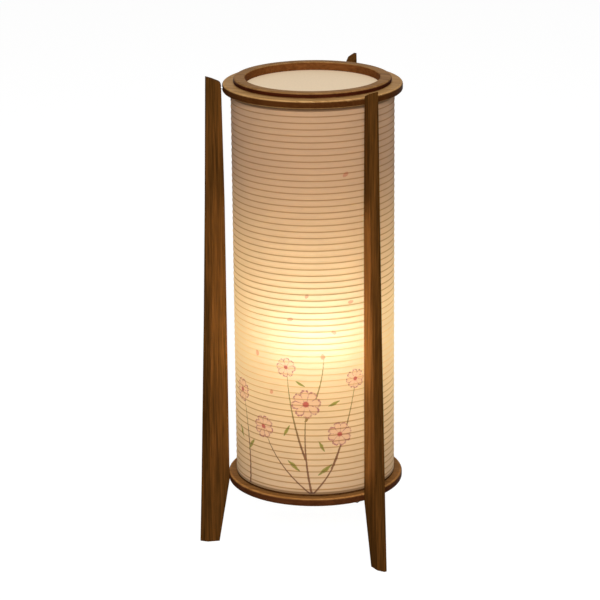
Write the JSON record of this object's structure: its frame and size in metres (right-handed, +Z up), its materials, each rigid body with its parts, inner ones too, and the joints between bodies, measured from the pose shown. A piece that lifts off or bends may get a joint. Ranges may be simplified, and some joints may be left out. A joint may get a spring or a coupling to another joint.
{
  "type": "andon floor lamp",
  "caption": "Tall cylindrical paper shade on hoops between two turned wooden rings, carried by three kinked wooden legs, with a lift-off lid and a screw-in bulb.",
  "frame": {"origin": "on the lamp's axis at floor level, between the three feet", "axes": "+Z up along the lamp's axis, -Y the front with a leg on each side, +Y towards the back leg"},
  "size_m": [0.2582, 0.2582, 0.604],
  "materials": {
    "leg_wood": "dark stained hardwood, satin lacquer",
    "ring_wood": "brown stained hardwood, satin lacquer",
    "lid_wood": "brown stained hardwood, satin lacquer",
    "bamboo": "split bamboo, plain",
    "shade_paper": "handmade paper lit from inside",
    "lid_disc": "laminated paper disc",
    "zinced_steel": "zinc plated",
    "black_plastic": "moulded phenolic",
    "porcelain": "glazed",
    "brass": "bare",
    "solder_tin": "tinned",
    "nickelled_brass": "nickel plated",
    "black_glass": "glossy vitrite",
    "white_plastic": "moulded",
    "aluminium": "stamped",
    "led_phosphor": "phosphor",
    "circuit_board": "solder mask",
    "opal_globe": "opal, lit"
  },
  "bodies": {
    "stand": {"leg_back": "leg_wood", "leg_front_left": "leg_wood", "leg_front_right": "leg_wood", "leg_screws": "zinced_steel", "top_ring": "ring_wood", "bottom_ring": "ring_wood", "shade_paper": "shade_paper", "shade_hoops": "bamboo", "shade_rim_upper": "bamboo", "shade_rim_lower": "ring_wood", "crossbar": "ring_wood", "crossbar_screws": "zinced_steel", "stem_tube": "zinced_steel", "stem_washers": "zinced_steel", "stem_nuts": "zinced_steel", "cord_bushing": "black_plastic", "holder_cap": "black_plastic", "holder_grub_screw": "zinced_steel", "holder_shell": "black_plastic", "holder_insert": "porcelain", "holder_screw_shell": "brass", "holder_centre_contact": "brass", "holder_terminal_screws": "brass"},
    "lid": {"lid_ring": "lid_wood", "lid_disc": "lid_disc", "lid_disc_hoop": "bamboo", "lid_brads": "brass"},
    "bulb_lift": {"bulb_eyelet": "solder_tin"},
    "bulb": {"bulb_cap": "nickelled_brass", "bulb_insulator": "black_glass", "bulb_housing": "white_plastic", "bulb_led_plate": "aluminium", "bulb_leds": "led_phosphor", "bulb_driver_board": "circuit_board", "bulb_globe": "opal_globe"}
  },
  "joints": [
    {"name": "lid_lift", "type": "slide", "parent": "stand", "child": "lid", "axis": [0, 0, 1], "range_m": [0, 0.12]},
    {"name": "bulb_rise", "type": "slide", "parent": "stand", "child": "bulb_lift", "axis": [0, 0, 1], "range_m": [0, 0.0182]},
    {"name": "bulb_turn", "type": "hinge", "parent": "bulb_lift", "child": "bulb", "pos_m": [0, 0, 0.194], "axis": [0, 0, 1], "range_deg": [0, 1800]}
  ],
  "couplings": [
    {"joint": "bulb_rise", "follows": "bulb_turn", "m_per_rad": 0.00057757}
  ]
}
